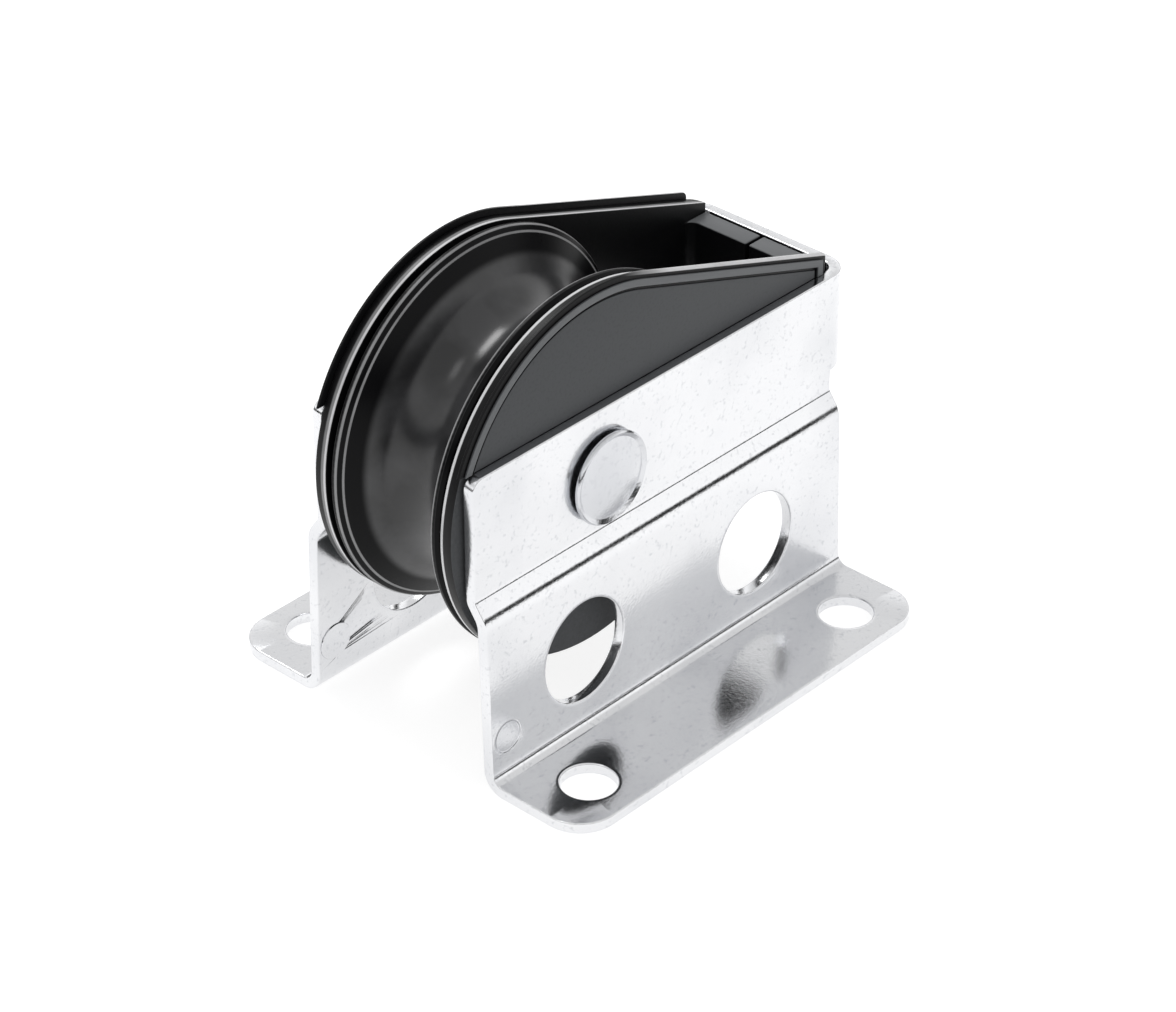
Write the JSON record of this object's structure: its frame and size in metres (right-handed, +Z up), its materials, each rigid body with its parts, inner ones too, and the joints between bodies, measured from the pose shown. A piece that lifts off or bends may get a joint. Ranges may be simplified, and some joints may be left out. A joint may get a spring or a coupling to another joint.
{
  "type": "upright ball-bearing lead block",
  "caption": "Upright deck lead block: a grooved ball-bearing sheave between moulded cheeks in a stainless frame with screw-down feet.",
  "frame": {"origin": "bottom centre of the whole block, on the surface that the feet stand on", "axes": "+Z up from the deck, +X from the open sheave end to the closed back, Y across along the axle; the near side plate is at -Y"},
  "size_m": [0.0406, 0.035, 0.0342],
  "materials": {
    "stainless": "tumbled stainless sheet, bright satin",
    "cheek_plastic": "black moulded plastic, satin with a fine grain",
    "sheave_plastic": "black moulded plastic, smooth and slightly glossy",
    "race_steel": "ground steel bush",
    "ball_plastic": "pale plastic bearing balls"
  },
  "bodies": {
    "housing": {"side_frame": "stainless", "near_cheek": "cheek_plastic", "far_cheek": "cheek_plastic", "inner_race": "race_steel", "axle_rivet": "stainless"},
    "sheave_body": {"sheave": "sheave_plastic"},
    "near_ball_row": {"near_ball_01": "ball_plastic", "near_ball_02": "ball_plastic", "near_ball_03": "ball_plastic", "near_ball_04": "ball_plastic", "near_ball_05": "ball_plastic", "near_ball_06": "ball_plastic", "near_ball_07": "ball_plastic", "near_ball_08": "ball_plastic", "near_ball_09": "ball_plastic", "near_ball_10": "ball_plastic", "near_ball_11": "ball_plastic", "near_ball_12": "ball_plastic", "near_ball_13": "ball_plastic", "near_ball_14": "ball_plastic"},
    "far_ball_row": {"far_ball_01": "ball_plastic", "far_ball_02": "ball_plastic", "far_ball_03": "ball_plastic", "far_ball_04": "ball_plastic", "far_ball_05": "ball_plastic", "far_ball_06": "ball_plastic", "far_ball_07": "ball_plastic", "far_ball_08": "ball_plastic", "far_ball_09": "ball_plastic", "far_ball_10": "ball_plastic", "far_ball_11": "ball_plastic", "far_ball_12": "ball_plastic", "far_ball_13": "ball_plastic", "far_ball_14": "ball_plastic"}
  },
  "joints": [
    {"name": "sheave_spin", "type": "hinge", "parent": "housing", "child": "sheave_body", "pos_m": [-0.0062, 0, 0.0196], "axis": [0, 1, 0], "continuous": true},
    {"name": "near_balls_roll", "type": "hinge", "parent": "housing", "child": "near_ball_row", "pos_m": [-0.0062, 0, 0.0196], "axis": [0, 1, 0], "continuous": true},
    {"name": "far_balls_roll", "type": "hinge", "parent": "housing", "child": "far_ball_row", "pos_m": [-0.0062, 0, 0.0196], "axis": [0, 1, 0], "continuous": true}
  ],
  "couplings": [
    {"joint": "near_balls_roll", "follows": "sheave_spin", "ratio": 0.60085},
    {"joint": "far_balls_roll", "follows": "sheave_spin", "ratio": 0.60085}
  ]
}
